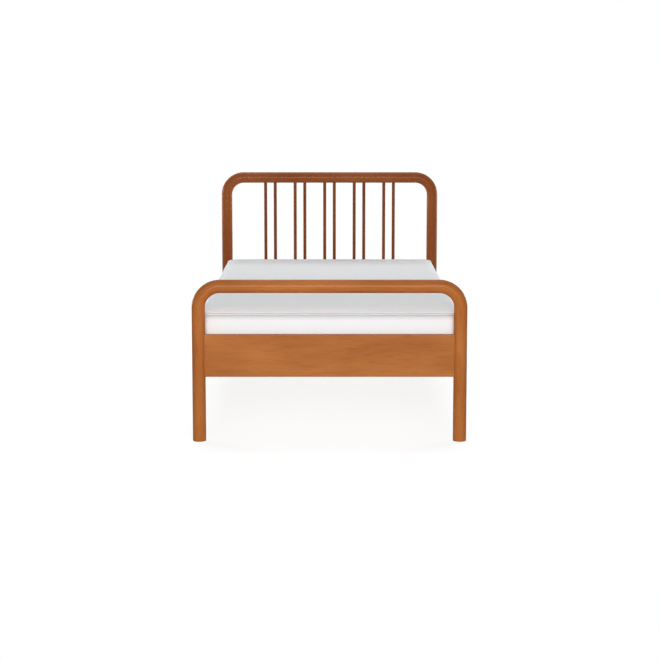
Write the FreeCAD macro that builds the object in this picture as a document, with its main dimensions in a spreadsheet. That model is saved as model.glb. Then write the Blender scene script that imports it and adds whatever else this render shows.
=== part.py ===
import FreeCAD, Part
import math
import os
import Sketcher

# Twin bed: two hoops of bent round wood, boards between their legs, a slatted base and a mattress.
# Millimetres. The origin is on the floor under the middle of the bed, the foot is at -Y, +Z is up.

doc = FreeCAD.newDocument("TwinBed")

# Driving sizes: name, value, what it measures
SIZES = (
    ("mattress_width", "990", "mattress across the bed"),
    ("mattress_length", "1905", "mattress from foot to head"),
    ("mattress_height", "207", "mattress thickness at its middle"),
    ("mattress_corner", "30", "corner radius of the mattress seen from above"),
    ("crown_drop", "3", "fall of the mattress top from its flat middle to its edge"),
    ("crown_run", "60", "width of the band over which the top falls"),
    ("edge_roll", "24", "width of the rounded edge of the underside"),
    ("seam_drop", "11", "piping centre from the edge of the top or underside"),
    ("seam_draw", "2", "how far the border is drawn in beside a seam"),
    ("piping_diameter", "8", "corded piping along the seams"),
    ("piping_set_in", "0.5", "outside of the piping from the mattress outline"),
    ("piping_clearance", "0.4", "piping to its groove"),
    ("cover_thickness", "4", "quilted cover behind the piping, at the underside and under the crown"),
    ("pad_thickness", "3", "felt pad over and under the springs"),
    ("pad_clearance", "0.5", "felt pad to the cover around it"),
    ("spring_diameter", "56", "outside of a spring pocket"),
    ("spring_wall", "5", "wall of a spring pocket"),
    ("spring_columns", "7", "spring pockets across the mattress"),
    ("spring_rows", "14", "spring pockets along the mattress"),
    ("side_gap", "5", "mattress to each side rail"),
    ("end_gap", "14.5", "mattress to the posts at each end"),
    ("tube_diameter", "51", "round wood of both hoops"),
    ("bend_radius", "83", "centreline radius of the hoop bends"),
    ("head_height", "917", "floor to the top of the headboard"),
    ("foot_height", "624", "floor to the top of the footboard"),
    ("leg_chamfer", "2", "chamfer at the bottom of each leg"),
    ("board_drop", "101.5", "start of the footboard bends to the upper edge of panels and side rails"),
    ("board_height", "163", "panels and side rails, lower to upper edge"),
    ("board_thickness", "22", "panels and side rails"),
    ("edge_easing", "2", "rounding of the long edges of boards and slats"),
    ("housing_depth", "10", "panel end let into the post"),
    ("seat_depth", "15.5", "flat seat for a side rail, cut into the post"),
    ("hoop_dowel_diameter", "14", "dowel between hoop pieces"),
    ("hoop_dowel_length", "70", "dowel between hoop pieces"),
    ("panel_dowel_diameter", "10", "dowel between panel and post"),
    ("panel_dowel_length", "40", "dowel between panel and post"),
    ("panel_dowel_margin", "37.5", "edge of a panel to the nearer dowel"),
    ("dowel_chamfer", "1", "chamfer at dowel ends"),
    ("fit_clearance", "0.1", "radial room around dowels, tenons and screws"),
    ("end_clearance", "1", "room past the end of a dowel, tenon or screw"),
    ("spindle_diameter", "15", "headboard spindle"),
    ("spindle_pairs", "5", "pairs of spindles"),
    ("pair_inset", "212", "post axis to the middle of the first pair of spindles"),
    ("pair_spacing", "47", "between the two spindles of a pair"),
    ("spindle_socket", "14", "spindle let into the top rail, measured at its lowest line"),
    ("tenon_diameter", "11", "lower end of a spindle"),
    ("tenon_length", "20", "lower end of a spindle"),
    ("glide_diameter", "30", "floor glide under a leg"),
    ("glide_thickness", "5", "floor glide"),
    ("glide_proud", "0.8", "floor to the bottom of the leg"),
    ("glide_pin_diameter", "4", "pin of a floor glide"),
    ("glide_pin_length", "14", "pin of a floor glide"),
    ("plate_width", "16", "steel fitting plates"),
    ("plate_height", "120", "steel fitting plates"),
    ("plate_thickness", "2.5", "steel fitting plates"),
    ("hook_thickness", "4", "hook on the rail plate"),
    ("hook_height", "16", "hook above the edge that it hangs on"),
    ("hook_drop", "10", "tip of the hook below that edge"),
    ("hook_tip", "3", "tip of the hook along the bed"),
    ("hook_spacing", "40", "height between the two hooks of a plate"),
    ("hook_clearance", "0.5", "room around a hook"),
    ("screw_diameter", "4", "countersunk screws"),
    ("screw_head_diameter", "8", "countersunk screws"),
    ("screw_head_height", "2.3", "countersunk screws"),
    ("screw_sink", "0.1", "screw head below the surface"),
    ("bracket_screw_length", "30", "screws of the fitting plates"),
    ("bracket_screw_margin", "10", "end of a fitting plate to its nearer screw"),
    ("cleat_screw_length", "40", "screws of the slat cleats"),
    ("cleat_screw_count", "8", "screws in each cleat"),
    ("cleat_screw_margin", "60", "end of a cleat to its first screw"),
    ("cleat_width", "25", "slat cleat, out from the rail"),
    ("cleat_height", "20", "slat cleat"),
    ("cleat_lift", "2", "slat cleat above the lower edge of the rail"),
    ("slat_count", "14", "slats"),
    ("slat_width", "70", "slat along the bed"),
    ("slat_thickness", "18", "slat"),
    ("slat_clearance", "2", "slat end to the side rail"),
    ("slat_margin", "10", "first slat from the end of the mattress"),
    ("tape_width", "25", "webbing tape under the slats"),
    ("tape_thickness", "1.2", "webbing tape under the slats"),
    ("tape_place", "320", "tape from the middle of the bed"),
)

# Places worked out from the driving sizes
LAYOUT = (
    ("tube_radius", "Sizes.tube_diameter / 2", "hoop tube"),
    ("post_axis_x", "Sizes.mattress_width / 2 + Sizes.side_gap", "post axis and inner face of a side rail"),
    ("hoop_axis_y", "Sizes.mattress_length / 2 + Sizes.end_gap + tube_radius", "hoop plane"),
    ("top_half", "post_axis_x - Sizes.bend_radius", "half of a straight top rail"),
    ("foot_joint", "Sizes.foot_height - tube_radius - Sizes.bend_radius", "upper end of a footboard leg"),
    ("head_joint", "Sizes.head_height - tube_radius - Sizes.bend_radius", "upper end of a headboard post"),
    ("pair_pitch", "2 * (post_axis_x - Sizes.pair_inset) / (Sizes.spindle_pairs - 1)", "from pair to pair"),
    ("board_top", "foot_joint - Sizes.board_drop", "upper edge of panels and side rails"),
    ("board_bottom", "board_top - Sizes.board_height", "lower edge of panels and side rails"),
    ("board_middle", "board_top - Sizes.board_height / 2", "mid height of panels and side rails"),
    ("panel_dowel_spacing", "Sizes.board_height - 2 * Sizes.panel_dowel_margin", "between its two dowels"),
    ("bracket_screw_spacing", "Sizes.plate_height - 2 * Sizes.bracket_screw_margin", "between its screws"),
    ("housing_floor", "tube_radius - Sizes.housing_depth", "post axis to the end of a panel"),
    ("seat_offset", "tube_radius - Sizes.seat_depth", "post axis to the end of a side rail"),
    ("rail_half", "hoop_axis_y - seat_offset", "half length of a side rail"),
    ("plate_centre", "Sizes.board_thickness / 2", "post axis to the middle of the fitting plates"),
    ("slot_height", "Sizes.hook_height + Sizes.hook_drop + Sizes.hook_clearance", "slot for a hook"),
    ("cleat_bottom", "board_bottom + Sizes.cleat_lift", "lower face of a cleat"),
    ("cleat_top", "cleat_bottom + Sizes.cleat_height", "slats rest here"),
    ("slat_top", "cleat_top + Sizes.slat_thickness", "mattress rests here"),
    ("slat_field", "Sizes.mattress_length - 2 * Sizes.slat_margin", "first to last slat, over all"),
    ("slat_pitch", "(slat_field - Sizes.slat_width) / (Sizes.slat_count - 1)", "from slat to slat"),
    ("cleat_screw_span", "Sizes.mattress_length - 2 * Sizes.cleat_screw_margin", "first to last screw"),
    ("piping_radius", "Sizes.piping_diameter / 2", "corded piping"),
    ("piping_inset", "Sizes.piping_set_in + piping_radius", "piping centreline from the outline"),
    ("groove_floor", "piping_inset + piping_radius + Sizes.piping_clearance", "groove for the piping"),
    ("groove_mouth", "piping_radius + 3 * Sizes.piping_clearance", "half height of the groove's mouth"),
    ("low_seam", "Sizes.seam_drop", "lower piping, from the underside"),
    ("high_seam", "Sizes.mattress_height - Sizes.crown_drop - Sizes.seam_drop", "upper piping, likewise"),
    ("cavity_inset", "groove_floor + Sizes.cover_thickness", "inside of the cover from the outline"),
    ("cavity_top", "Sizes.mattress_height - Sizes.crown_drop - Sizes.cover_thickness", "top of its inside"),
    ("spring_bottom", "Sizes.cover_thickness + Sizes.pad_thickness", "lower end of a spring pocket"),
    ("spring_height", "cavity_top - Sizes.pad_thickness - spring_bottom", "spring pocket"),
    ("spring_span_x", "Sizes.mattress_width - 2 * cavity_inset - 2 * Sizes.spring_diameter", "across"),
    ("spring_span_y", "Sizes.mattress_length - 2 * cavity_inset - 2 * Sizes.spring_diameter", "along"),
)


def fill_sheet(name, rows, lead):
    """A spreadsheet with one named cell per row; lead is put before each value."""
    sheet = doc.addObject("Spreadsheet::Sheet", name)
    for number, (alias, value, note) in enumerate(rows, start=1):
        sheet.set(f"A{number}", alias)
        sheet.set(f"B{number}", lead + value)
        sheet.setAlias(f"B{number}", alias)
        sheet.set(f"C{number}", note)
    doc.recompute()
    return sheet


sizes = fill_sheet("Sizes", SIZES, "")
fill_sheet("Layout", LAYOUT, "=")

NODES = []


def value(expression):
    """The number that an expression stands for now."""
    return float(sizes.evalExpression(expression))


def keep(item):
    """List an object as a sub-part of the bed."""
    NODES.append(item)
    return item


def new_body(label, x="0", y="0", z="0", turn=0):
    """An empty body at a place given by expressions, turned about Z by an angle in degrees."""
    body = doc.addObject("PartDesign::Body", label)
    body.Label = label
    body.Placement.Rotation = FreeCAD.Rotation(FreeCAD.Vector(0, 0, 1), turn)
    body.setExpression("Placement.Base.x", x)
    body.setExpression("Placement.Base.y", y)
    body.setExpression("Placement.Base.z", z)
    return body


def mirrored(label, source):
    """The same piece on the other side of the bed."""
    mirror = doc.addObject("Part::Mirroring", label)
    mirror.Label = label
    mirror.Source = source
    mirror.Normal = FreeCAD.Vector(1, 0, 0)
    return mirror


def group(label, members):
    """One sub-part of several like solids."""
    compound = doc.addObject("Part::Compound", label)
    compound.Label = label
    compound.Links = members
    return keep(compound)


def sketch_on(body, role, offset="0"):
    """A sketch on one of the body's origin planes, moved along the plane's normal."""
    sketch = body.newObject("Sketcher::SketchObject", body.Label + "_sketch")
    support = next(item for item in body.Origin.OriginFeatures if item.Role == role)
    sketch.AttachmentSupport = [(support, "")]
    sketch.MapMode = "FlatFace"
    sketch.setExpression("AttachmentOffset.Base.z", offset)
    return sketch


def bind(sketch, kind, references, expression):
    """A dimension in a sketch that follows an expression."""
    index = sketch.addConstraint(Sketcher.Constraint(kind, *references, value(expression)))
    sketch.setExpression(f"Constraints[{index}]", expression)


def polygon(sketch, points):
    """A closed outline through points whose coordinates are expressions."""
    corners = [FreeCAD.Vector(value(u), value(v), 0) for u, v in points]
    count = len(corners)
    for index in range(count):
        sketch.addGeometry(Part.LineSegment(corners[index], corners[(index + 1) % count]), False)
    for index in range(count):
        sketch.addConstraint(Sketcher.Constraint("Coincident", index, 2, (index + 1) % count, 1))
    for index, (u, v) in enumerate(points):
        bind(sketch, "DistanceX", (-1, 1, index, 1), u)
        bind(sketch, "DistanceY", (-1, 1, index, 1), v)


def circle(sketch, u, v, radius):
    """A circle whose centre and radius are expressions."""
    centre = FreeCAD.Vector(value(u), value(v), 0)
    index = sketch.addGeometry(Part.Circle(centre, FreeCAD.Vector(0, 0, 1), value(radius)), False)
    bind(sketch, "Radius", (index,), radius)
    bind(sketch, "DistanceX", (-1, 1, index, 3), u)
    bind(sketch, "DistanceY", (-1, 1, index, 3), v)


def raise_pad(body, sketch, length):
    """Material from a sketch upwards."""
    pad = body.newObject("PartDesign::Pad", body.Label + "_pad")
    pad.Profile = sketch
    pad.setExpression("Length", length)
    return pad


def sink_pocket(body, sketch, length):
    """A cut from a sketch downwards."""
    pocket = body.newObject("PartDesign::Pocket", body.Label + "_pocket")
    pocket.Profile = sketch
    pocket.setExpression("Length", length)
    return pocket


def block(body, x, y, z):
    """A box between pairs of expressions along X, Y and Z."""
    sketch = sketch_on(body, "XY_Plane", z[0])
    polygon(sketch, [(x[0], y[0]), (x[1], y[0]), (x[1], y[1]), (x[0], y[1])])
    return raise_pad(body, sketch, f"({z[1]}) - ({z[0]})")


def cut_block(body, x, y, z):
    """A box taken away between pairs of expressions along X, Y and Z."""
    sketch = sketch_on(body, "XY_Plane", z[1])
    polygon(sketch, [(x[0], y[0]), (x[1], y[0]), (x[1], y[1]), (x[0], y[1])])
    return sink_pocket(body, sketch, f"({z[1]}) - ({z[0]})")


def turned(body, kind, sketch, origin, along, steps):
    """A shape turned about a line along the sketch's "u" or "v" from the origin.

    The steps are pairs of distance along the line and radius, from one end to the other.
    """
    ends = [(steps[0][0], "0"), *steps, (steps[-1][0], "0")]
    points = []
    for distance, radius in ends:
        across, up = (distance, radius) if along == "u" else (radius, distance)
        points.append((f"{origin[0]} + ({across})", f"{origin[1]} + ({up})"))
    polygon(sketch, points)
    first = FreeCAD.Vector(value(points[0][0]), value(points[0][1]), 0)
    last = FreeCAD.Vector(value(points[-1][0]), value(points[-1][1]), 0)
    axis = sketch.addGeometry(Part.LineSegment(first, last), True)
    sketch.addConstraint(Sketcher.Constraint("Coincident", axis, 1, 0, 1))
    sketch.addConstraint(Sketcher.Constraint("Coincident", axis, 2, len(points) - 1, 1))
    feature = body.newObject("PartDesign::" + kind, body.Label + "_" + kind.lower())
    feature.Profile = sketch
    feature.ReferenceAxis = (sketch, ["Axis0"])
    feature.Angle = 360
    return feature


def row(body, feature, sketch, axis, span, count):
    """Copies of a feature in a row along one of its sketch's axes."""
    pattern = body.newObject("PartDesign::LinearPattern", body.Label + "_row")
    pattern.Originals = [feature]
    pattern.Direction = (sketch, [axis])
    pattern.setExpression("Length", span)
    pattern.setExpression("Occurrences", count)
    body.Tip = pattern
    return pattern


def ease_long_edges(body, feature, direction):
    """Round the straight edges of a board that run along a direction."""
    doc.recompute()
    names = []
    for number, edge in enumerate(feature.Shape.Edges, start=1):
        if abs(edge.tangentAt(edge.FirstParameter).dot(direction)) > 0.99:
            names.append(f"Edge{number}")
    fillet = body.newObject("PartDesign::Fillet", body.Label + "_easing")
    fillet.Base = (feature, names)
    fillet.setExpression("Radius", "Sizes.edge_easing")
    return fillet


ALONG_X = FreeCAD.Vector(1, 0, 0)
ALONG_Y = FreeCAD.Vector(0, 1, 0)


def dowel_steps(start, end, size):
    """A dowel with chamfered ends, between two distances along its axis."""
    radius = f"Sizes.{size} / 2"
    slim = f"{radius} - Sizes.dowel_chamfer"
    return [
        (start, slim),
        (f"{start} + Sizes.dowel_chamfer", radius),
        (f"{end} - Sizes.dowel_chamfer", radius),
        (end, slim),
    ]


def hole_steps(start, end, size):
    """The hole for a dowel that lies between two distances along its axis."""
    radius = f"Sizes.{size} / 2 + Sizes.fit_clearance"
    return [(f"{start} - Sizes.end_clearance", radius), (f"{end} + Sizes.end_clearance", radius)]


def screw_steps(length, way):
    """A countersunk screw from its head; way is 1 or -1 along its axis."""
    sink = "Sizes.screw_sink"
    shank = "Sizes.screw_diameter / 2"
    return [
        (f"{way} * {sink}", "Sizes.screw_head_diameter / 2"),
        (f"{way} * ({sink} + Sizes.screw_head_height)", shank),
        (f"{way} * ({length} - Sizes.screw_diameter)", shank),
        (f"{way} * {length}", "Sizes.fit_clearance"),
    ]


def screw_hole_steps(length, way):
    """The countersunk hole for such a screw."""
    room = "Sizes.fit_clearance"
    shank = f"Sizes.screw_diameter / 2 + {room}"
    return [
        ("0", f"Sizes.screw_head_diameter / 2 + {room}"),
        (f"{way} * Sizes.screw_sink", f"Sizes.screw_head_diameter / 2 + {room}"),
        (f"{way} * (Sizes.screw_sink + Sizes.screw_head_height)", shank),
        (f"{way} * ({length} + Sizes.end_clearance)", shank),
    ]


HALF_DOWEL = "Sizes.hoop_dowel_length / 2"
HOOP_DOWEL = ("-" + HALF_DOWEL, HALF_DOWEL, "hoop_dowel_diameter")
PANEL_DOWEL_END = "Sizes.end_clearance + Sizes.panel_dowel_length"
PANEL_DOWEL = ("Sizes.end_clearance", PANEL_DOWEL_END, "panel_dowel_diameter")


def level_pair(middle, spacing):
    """Two levels either side of a middle one."""
    return [f"{middle} - {spacing} / 2", f"{middle} + {spacing} / 2"]


PANEL_DOWEL_LEVELS = level_pair("Layout.board_middle", "Layout.panel_dowel_spacing")
BRACKET_SCREW_LEVELS = level_pair("Layout.board_middle", "Layout.bracket_screw_spacing")
HOOK_EDGES = level_pair("Layout.board_middle - Sizes.hook_drop", "Sizes.hook_spacing")
PLATE_X = ("-Layout.plate_centre - Sizes.plate_width / 2", "-Layout.plate_centre + Sizes.plate_width / 2")
PLATE_Z = ("Layout.board_middle - Sizes.plate_height / 2", "Layout.board_middle + Sizes.plate_height / 2")
BOARD_Z = ("Layout.board_bottom", "Layout.board_top")


def hook_span(extra):
    """The width of a hook with some room on each side."""
    half = f"(Sizes.hook_thickness / 2 + {extra})"
    return (f"-Layout.plate_centre - {half}", f"-Layout.plate_centre + {half}")


# A corner is built in the frame of the foot's left post: its X points to the middle of the bed and
# its Y along the bed. The head's right corner is the same turned half round, the others are mirrored.
def corner_body(label, end):
    """A body in a corner's frame; end is -1 at the foot and 1 at the head."""
    turn = 0 if end < 0 else 180
    return new_body(label, f"{end} * Layout.post_axis_x", f"{end} * Layout.hoop_axis_y", "0", turn)


def corner_post(label, end, top):
    """A leg with its dowel holes, panel housing, rail seat and hook pockets; top is its upper end."""
    body = corner_body(label, end)
    foot = "Sizes.glide_proud"
    radius = "Layout.tube_radius"
    past = f"{radius} + Sizes.end_clearance"
    leg = [(foot, f"{radius} - Sizes.leg_chamfer"), (f"{foot} + Sizes.leg_chamfer", radius), (top, radius)]
    turned(body, "Revolution", sketch_on(body, "XZ_Plane"), ("0", "0"), "v", leg)
    turned(body, "Groove", sketch_on(body, "XZ_Plane"), ("0", top), "v", hole_steps(*HOOP_DOWEL))
    recess = "Sizes.glide_diameter / 2 + Sizes.fit_clearance"
    pin = "Sizes.glide_pin_diameter / 2 + Sizes.fit_clearance"
    pin_end = "Sizes.glide_thickness + Sizes.glide_pin_length + Sizes.end_clearance"
    shoulder = "Sizes.glide_thickness"
    glide = [("0", recess), (shoulder, recess), (shoulder, pin), (pin_end, pin)]
    turned(body, "Groove", sketch_on(body, "XZ_Plane"), ("0", "0"), "v", glide)
    thick = ("-Sizes.board_thickness / 2", "Sizes.board_thickness / 2")
    cut_block(body, ("Layout.housing_floor", past), thick, BOARD_Z)
    cut_block(body, (f"-({past})", "0"), ("Layout.seat_offset", past), BOARD_Z)
    back = "Layout.seat_offset - Sizes.plate_thickness"
    cut_block(body, PLATE_X, (back, "Layout.seat_offset"), PLATE_Z)
    depth = f"{back} - Sizes.hook_tip - 2 * Sizes.hook_clearance"
    for edge in HOOK_EDGES:
        low = f"{edge} - Sizes.hook_drop - Sizes.hook_clearance"
        high = f"{edge} + Layout.slot_height"
        cut_block(body, hook_span("2 * Sizes.hook_clearance"), (depth, back), (low, high))
    for level in PANEL_DOWEL_LEVELS:
        turned(body, "Groove", sketch_on(body, "XZ_Plane"), ("0", level), "u", hole_steps(*PANEL_DOWEL))
    for level in BRACKET_SCREW_LEVELS:
        holes = screw_hole_steps("Sizes.bracket_screw_length", -1)
        sketch = sketch_on(body, "XY_Plane", level)
        turned(body, "Groove", sketch, ("-Layout.plate_centre", "Layout.seat_offset"), "v", holes)
    return keep(body)


def slot_plate(end):
    """The steel plate let into a post, with a slot for each hook."""
    body = corner_body("slot_plate_" + ("foot" if end < 0 else "head"), end)
    seat = ("Layout.seat_offset - Sizes.plate_thickness", "Layout.seat_offset")
    block(body, PLATE_X, seat, PLATE_Z)
    for edge in HOOK_EDGES:
        cut_block(body, hook_span("Sizes.hook_clearance"), seat, (edge, f"{edge} + Layout.slot_height"))
    for level in BRACKET_SCREW_LEVELS:
        holes = screw_hole_steps("Sizes.bracket_screw_length", -1)
        sketch = sketch_on(body, "XY_Plane", level)
        turned(body, "Groove", sketch, ("-Layout.plate_centre", "Layout.seat_offset"), "v", holes)
    return body


def hook_plate(end):
    """The steel plate in a rail's end, with hooks that hang in the slots of the post's plate."""
    body = corner_body("hook_plate_" + ("foot" if end < 0 else "head"), end)
    face = "Layout.seat_offset"
    behind = f"{face} - Sizes.plate_thickness - Sizes.hook_clearance"
    tip = (f"{behind} - Sizes.hook_tip", behind)
    block(body, PLATE_X, (face, f"{face} + Sizes.plate_thickness"), PLATE_Z)
    for edge in HOOK_EDGES:
        block(body, hook_span("0"), (tip[0], face), (edge, f"{edge} + Sizes.hook_height"))
        block(body, hook_span("0"), tip, (f"{edge} - Sizes.hook_drop", edge))
    for level in BRACKET_SCREW_LEVELS:
        holes = screw_hole_steps("Sizes.bracket_screw_length", 1)
        sketch = sketch_on(body, "XY_Plane", level)
        turned(body, "Groove", sketch, ("-Layout.plate_centre", face), "v", holes)
    return body


def bracket_screws(end, way):
    """The two screws of one plate; way is -1 into the post and 1 into the rail."""
    name = ("foot" if end < 0 else "head") + ("_post" if way < 0 else "_rail")
    body = corner_body("bracket_screws_" + name, end)
    sketch = sketch_on(body, "XY_Plane", BRACKET_SCREW_LEVELS[0])
    steps = screw_steps("Sizes.bracket_screw_length", way)
    screw = turned(body, "Revolution", sketch, ("-Layout.plate_centre", "Layout.seat_offset"), "v", steps)
    row(body, screw, sketch, "N_Axis", "Layout.bracket_screw_spacing", "2")
    return body


def floor_glide(end):
    """A turned glide with a pin, under one leg."""
    body = corner_body("floor_glide_" + ("foot" if end < 0 else "head"), end)
    radius = "Sizes.glide_diameter / 2"
    pin = "Sizes.glide_pin_diameter / 2"
    thick = "Sizes.glide_thickness"
    steps = [
        ("0", f"{radius} - Sizes.dowel_chamfer"),
        ("Sizes.dowel_chamfer", radius),
        (thick, radius),
        (thick, pin),
        (f"{thick} + Sizes.glide_pin_length", pin),
    ]
    turned(body, "Revolution", sketch_on(body, "XZ_Plane"), ("0", "0"), "v", steps)
    return body


def left_elbow(label, end, joint):
    """A quarter bend of the hoop around the origin of its body, with dowel holes in its ends."""
    body = new_body(label, "-Layout.top_half", f"{end} * Layout.hoop_axis_y", joint)
    section = sketch_on(body, "XY_Plane")
    circle(section, "-Sizes.bend_radius", "0", "Layout.tube_radius")
    bend = body.newObject("PartDesign::Revolution", label + "_bend")
    bend.Profile = section
    bend.ReferenceAxis = (section, ["V_Axis"])
    bend.Angle = 90
    holes = hole_steps(*HOOP_DOWEL)
    turned(body, "Groove", sketch_on(body, "XZ_Plane"), ("-Sizes.bend_radius", "0"), "v", holes)
    turned(body, "Groove", sketch_on(body, "XZ_Plane"), ("0", "Sizes.bend_radius"), "u", holes)
    return keep(body)


def spindle_places():
    """Where the spindles stand across the bed, from left to right."""
    places = []
    for pair in range(int(value("Sizes.spindle_pairs"))):
        middle = f"({pair} - (Sizes.spindle_pairs - 1) / 2) * Layout.pair_pitch"
        places.append(f"{middle} - Sizes.pair_spacing / 2")
        places.append(f"{middle} + Sizes.pair_spacing / 2")
    return places


def spindle_holes(body, level, depth, size):
    """Holes for all spindles, from a level downwards."""
    sketch = sketch_on(body, "XY_Plane", level)
    for place in spindle_places():
        circle(sketch, place, "0", f"Sizes.{size} / 2 + Sizes.fit_clearance")
    sink_pocket(body, sketch, depth)


def top_rail(label, end, joint, spindles):
    """The straight top of a hoop, with a dowel hole in each end and sockets for any spindles."""
    body = new_body(label, "0", f"{end} * Layout.hoop_axis_y", f"{joint} + Sizes.bend_radius")
    tube = [("-Layout.top_half", "Layout.tube_radius"), ("Layout.top_half", "Layout.tube_radius")]
    turned(body, "Revolution", sketch_on(body, "XZ_Plane"), ("0", "0"), "u", tube)
    for side in ("-Layout.top_half", "Layout.top_half"):
        turned(body, "Groove", sketch_on(body, "XZ_Plane"), (side, "0"), "u", hole_steps(*HOOP_DOWEL))
    if spindles:
        socket_top = "Sizes.spindle_socket - Layout.tube_radius + Sizes.end_clearance"
        spindle_holes(body, socket_top, "Sizes.spindle_socket + Layout.tube_radius", "spindle_diameter")
    return keep(body)


def end_panel(label, end, spindles):
    """The board between two posts, let into both of them."""
    body = new_body(label, "0", f"{end} * Layout.hoop_axis_y")
    half = "(Layout.post_axis_x - Layout.housing_floor)"
    thick = ("-Sizes.board_thickness / 2", "Sizes.board_thickness / 2")
    board = block(body, ("-" + half, half), thick, BOARD_Z)
    ease_long_edges(body, board, ALONG_X)
    start, stop, size = PANEL_DOWEL
    for level in PANEL_DOWEL_LEVELS:
        left = sketch_on(body, "XZ_Plane")
        turned(body, "Groove", left, ("-Layout.post_axis_x", level), "u", hole_steps(start, stop, size))
        right = sketch_on(body, "XZ_Plane")
        right_hole = hole_steps(f"-({stop})", f"-({start})", size)
        turned(body, "Groove", right, ("Layout.post_axis_x", level), "u", right_hole)
    if spindles:
        depth = "Sizes.tenon_length + Sizes.end_clearance"
        spindle_holes(body, "Layout.board_top", depth, "tenon_diameter")
    return keep(body)


def hoop_dowels(label, end, joint):
    """The dowels between posts, bends and top rail of one hoop; joint is the upper end of its posts."""
    body = new_body(label + "_left", "0", f"{end} * Layout.hoop_axis_y", joint)
    steps = dowel_steps(*HOOP_DOWEL)
    turned(body, "Revolution", sketch_on(body, "XZ_Plane"), ("-Layout.post_axis_x", "0"), "v", steps)
    level = ("-Layout.top_half", "Sizes.bend_radius")
    turned(body, "Revolution", sketch_on(body, "XZ_Plane"), level, "u", steps)
    group(label, [body, mirrored(label + "_right", body)])


def panel_dowels(label, end):
    """The dowels between one panel and its posts."""
    body = new_body(label + "_left", "0", f"{end} * Layout.hoop_axis_y")
    for level in PANEL_DOWEL_LEVELS:
        sketch = sketch_on(body, "XZ_Plane")
        turned(body, "Revolution", sketch, ("-Layout.post_axis_x", level), "u", dowel_steps(*PANEL_DOWEL))
    group(label, [body, mirrored(label + "_right", body)])


def spindles():
    """Straight spindles from the headboard panel up into the top rail."""
    shank = "Sizes.spindle_diameter / 2"
    tenon = "Sizes.tenon_diameter / 2"
    top = "Sizes.head_height - Sizes.tube_diameter + Sizes.spindle_socket - Layout.board_top"
    steps = [("-Sizes.tenon_length", tenon), ("0", tenon), ("0", shank), (top, shank)]
    for number, place in enumerate(spindle_places(), start=1):
        body = new_body(f"headboard_spindle_{number:02d}", place, "Layout.hoop_axis_y", "Layout.board_top")
        turned(body, "Revolution", sketch_on(body, "XZ_Plane"), ("0", "0"), "v", steps)
        keep(body)


def hoop(name, leg, end, joint, with_spindles):
    """One end of the bed: two posts up to a joint, two bends, a top rail, a panel and their dowels."""
    built, other = ("left", "right") if end < 0 else ("right", "left")
    post = corner_post(f"{name}_{built}_{leg}", end, joint)
    keep(mirrored(f"{name}_{other}_{leg}", post))
    elbow = left_elbow(name + "_left_elbow", end, joint)
    keep(mirrored(name + "_right_elbow", elbow))
    top_rail(name + "_top_rail", end, joint, with_spindles)
    end_panel(name + "_panel", end, with_spindles)
    hoop_dowels(name + "_hoop_dowels", end, joint)
    panel_dowels(name + "_panel_dowels", end)


def cleat_screw_sketch(body):
    """The plane of the cleat screws."""
    return sketch_on(body, "XY_Plane", "Layout.cleat_bottom + Sizes.cleat_height / 2")


CLEAT_SCREW = ("Sizes.cleat_width", "-Layout.cleat_screw_span / 2")


def cleat_screw_holes(body):
    """Holes for the row of screws that hold a cleat to its rail."""
    sketch = cleat_screw_sketch(body)
    holes = screw_hole_steps("Sizes.cleat_screw_length", -1)
    hole = turned(body, "Groove", sketch, CLEAT_SCREW, "u", holes)
    row(body, hole, sketch, "V_Axis", "Layout.cleat_screw_span", "Sizes.cleat_screw_count")


def side_rails():
    """The two side rails, with plates and screw holes at their ends."""
    body = new_body("left_side_rail", "-Layout.post_axis_x")
    board = block(body, ("-Sizes.board_thickness", "0"), ("-Layout.rail_half", "Layout.rail_half"), BOARD_Z)
    ease_long_edges(body, board, ALONG_Y)
    for end in (-1, 1):
        face = f"{end} * Layout.rail_half"
        inside = f"{end} * (Layout.rail_half - Sizes.plate_thickness)"
        cut_block(body, PLATE_X, (face, inside) if end < 0 else (inside, face), PLATE_Z)
        for level in BRACKET_SCREW_LEVELS:
            holes = screw_hole_steps("Sizes.bracket_screw_length", -end)
            sketch = sketch_on(body, "XY_Plane", level)
            turned(body, "Groove", sketch, ("-Layout.plate_centre", face), "v", holes)
    cleat_screw_holes(body)
    keep(body)
    keep(mirrored("right_side_rail", body))


def slat_cleats():
    """The ledges inside the side rails and the screws that hold them."""
    body = new_body("left_slat_cleat", "-Layout.post_axis_x")
    ends = ("-Sizes.mattress_length / 2", "Sizes.mattress_length / 2")
    block(body, ("0", "Sizes.cleat_width"), ends, ("Layout.cleat_bottom", "Layout.cleat_top"))
    cleat_screw_holes(body)
    keep(body)
    keep(mirrored("right_slat_cleat", body))
    screws = new_body("cleat_screws_left", "-Layout.post_axis_x")
    sketch = cleat_screw_sketch(screws)
    steps = screw_steps("Sizes.cleat_screw_length", -1)
    screw = turned(screws, "Revolution", sketch, CLEAT_SCREW, "u", steps)
    row(screws, screw, sketch, "V_Axis", "Layout.cleat_screw_span", "Sizes.cleat_screw_count")
    group("cleat_screws", [screws, mirrored("cleat_screws_right", screws)])


def fittings():
    """Plates, screws and glides, four of each kind of corner piece."""
    built = {"post_slot_plates": [], "rail_hook_plates": [], "bracket_screws": [], "floor_glides": []}
    for end in (-1, 1):
        built["post_slot_plates"].append(slot_plate(end))
        built["rail_hook_plates"].append(hook_plate(end))
        built["bracket_screws"].append(bracket_screws(end, -1))
        built["bracket_screws"].append(bracket_screws(end, 1))
        built["floor_glides"].append(floor_glide(end))
    for label, bodies in built.items():
        others = [mirrored(body.Label + "_mirror", body) for body in bodies]
        group(label, bodies + others)


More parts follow.
